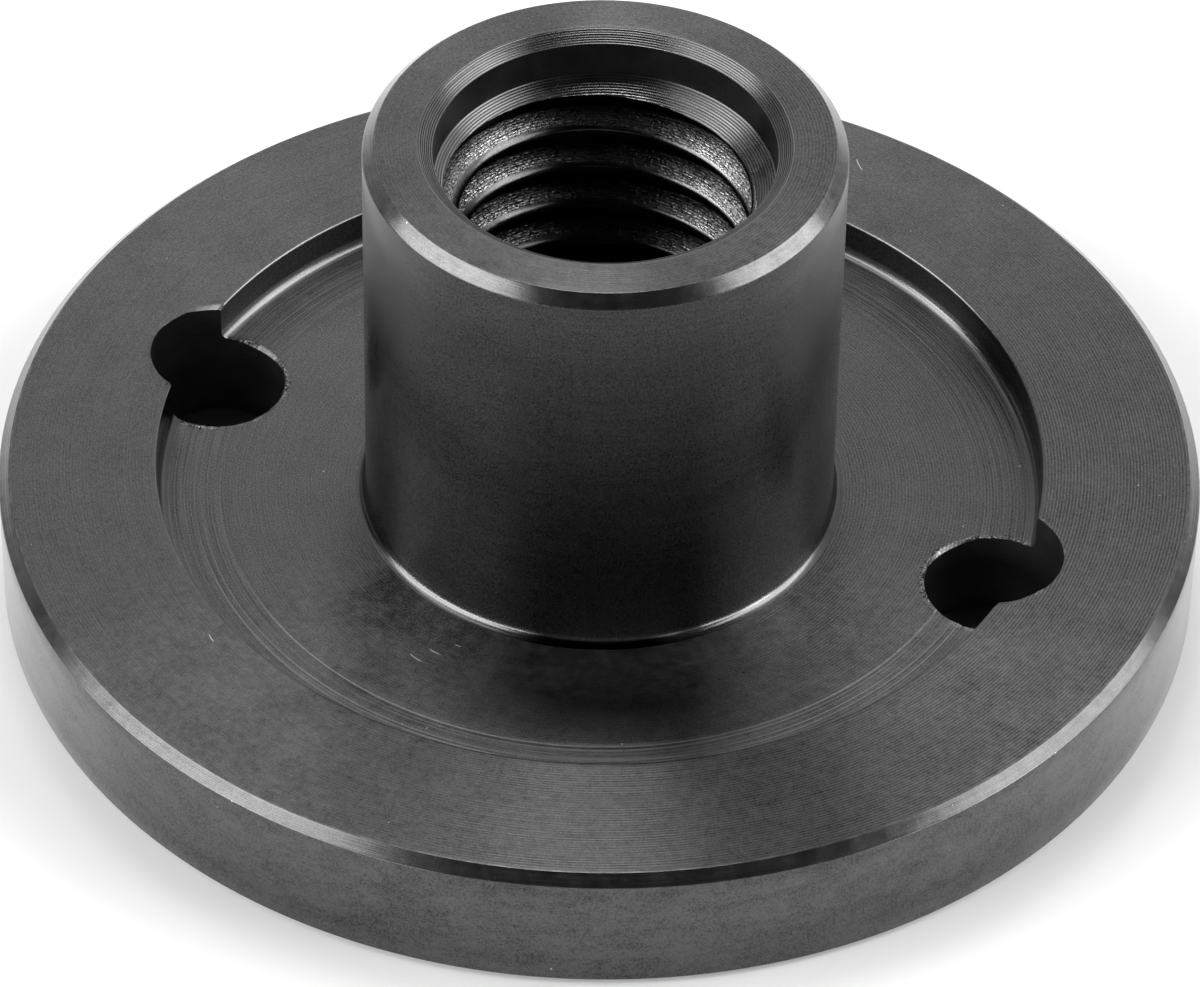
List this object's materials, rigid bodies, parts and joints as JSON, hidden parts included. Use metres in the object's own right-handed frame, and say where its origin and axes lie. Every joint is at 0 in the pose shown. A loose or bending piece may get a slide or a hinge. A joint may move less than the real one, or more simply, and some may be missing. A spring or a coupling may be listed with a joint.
{
  "type": "angle grinder lock nut",
  "caption": "Round flanged lock nut with a tall threaded hub, a relief round the hub and through holes for a pin spanner, turned in blackened steel.",
  "frame": {"origin": "centre of the flange's flat bottom face", "axes": "+Z along the thread's axis from the flange to the hub's end; the spanner holes lie on the X axis"},
  "size_m": [0.0512, 0.0512, 0.0229],
  "materials": {
    "blackened_steel": "turned and blackened, fine concentric tool marks"
  },
  "bodies": {
    "root": {"lock_nut": "blackened_steel"}
  },
  "joints": []
}
